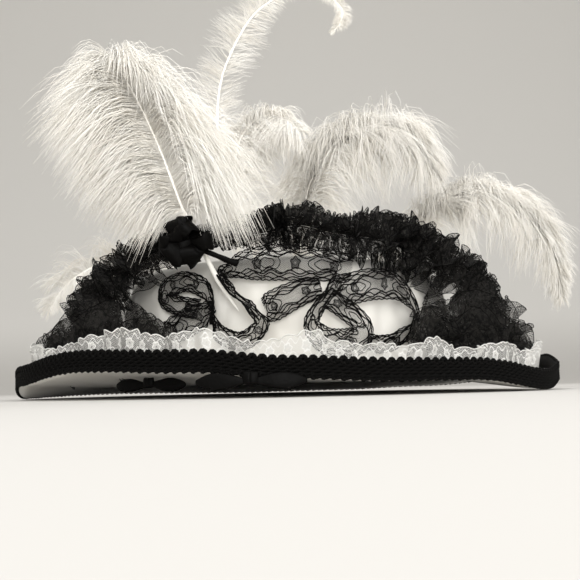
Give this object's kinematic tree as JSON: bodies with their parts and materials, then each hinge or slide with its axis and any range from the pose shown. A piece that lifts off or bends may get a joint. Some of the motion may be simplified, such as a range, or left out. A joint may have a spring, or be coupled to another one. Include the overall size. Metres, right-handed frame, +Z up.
{
  "type": "wide-brim picture hat",
  "caption": "Wide-brim picture hat: white satin brim and low wide crown, black braid rim, lace ruffles, net lace loops and ostrich plumes.",
  "frame": {"origin": "under the middle of the whole hat's box, on the surface that the rim rests on", "axes": "+Z up, -Y towards the hat's front, +X towards the hat's left side as worn"},
  "size_m": [0.603, 0.5368, 0.4834],
  "materials": {
    "white_satin": "white satin, soft sheen",
    "gimp_braid": "black gimp braid, matt",
    "white_lace": "white cotton lace, matt",
    "black_lace": "black net lace, matt",
    "black_satin": "black satin ribbon",
    "ostrich_plume": "white ostrich feather, soft and matt"
  },
  "bodies": {
    "root": {"brim": "white_satin", "crown": "white_satin", "gimp_band": "gimp_braid", "white_lace_edging": "white_lace", "satin_knot": "black_satin", "bow_front": "black_satin", "bow_left": "black_satin", "black_ruffle_top_left": "black_lace", "black_ruffle_top_right": "black_lace", "black_ruffle_left_high": "black_lace", "black_ruffle_right_high": "black_lace", "black_ruffle_left_low": "black_lace", "black_ruffle_right_low": "black_lace", "lace_ribbon_top": "black_lace", "lace_ribbon_drop": "black_lace", "lace_ribbon_left": "black_lace", "lace_ribbon_left_loop": "black_lace", "lace_ribbon_tail": "black_lace", "lace_ribbon_centre_loop": "black_lace", "lace_ribbon_right_loop": "black_lace", "plume_front": "ostrich_plume", "plume_left": "ostrich_plume", "plume_hood": "ostrich_plume", "plume_centre": "ostrich_plume", "plume_right": "ostrich_plume", "plume_tall": "ostrich_plume"}
  },
  "joints": []
}
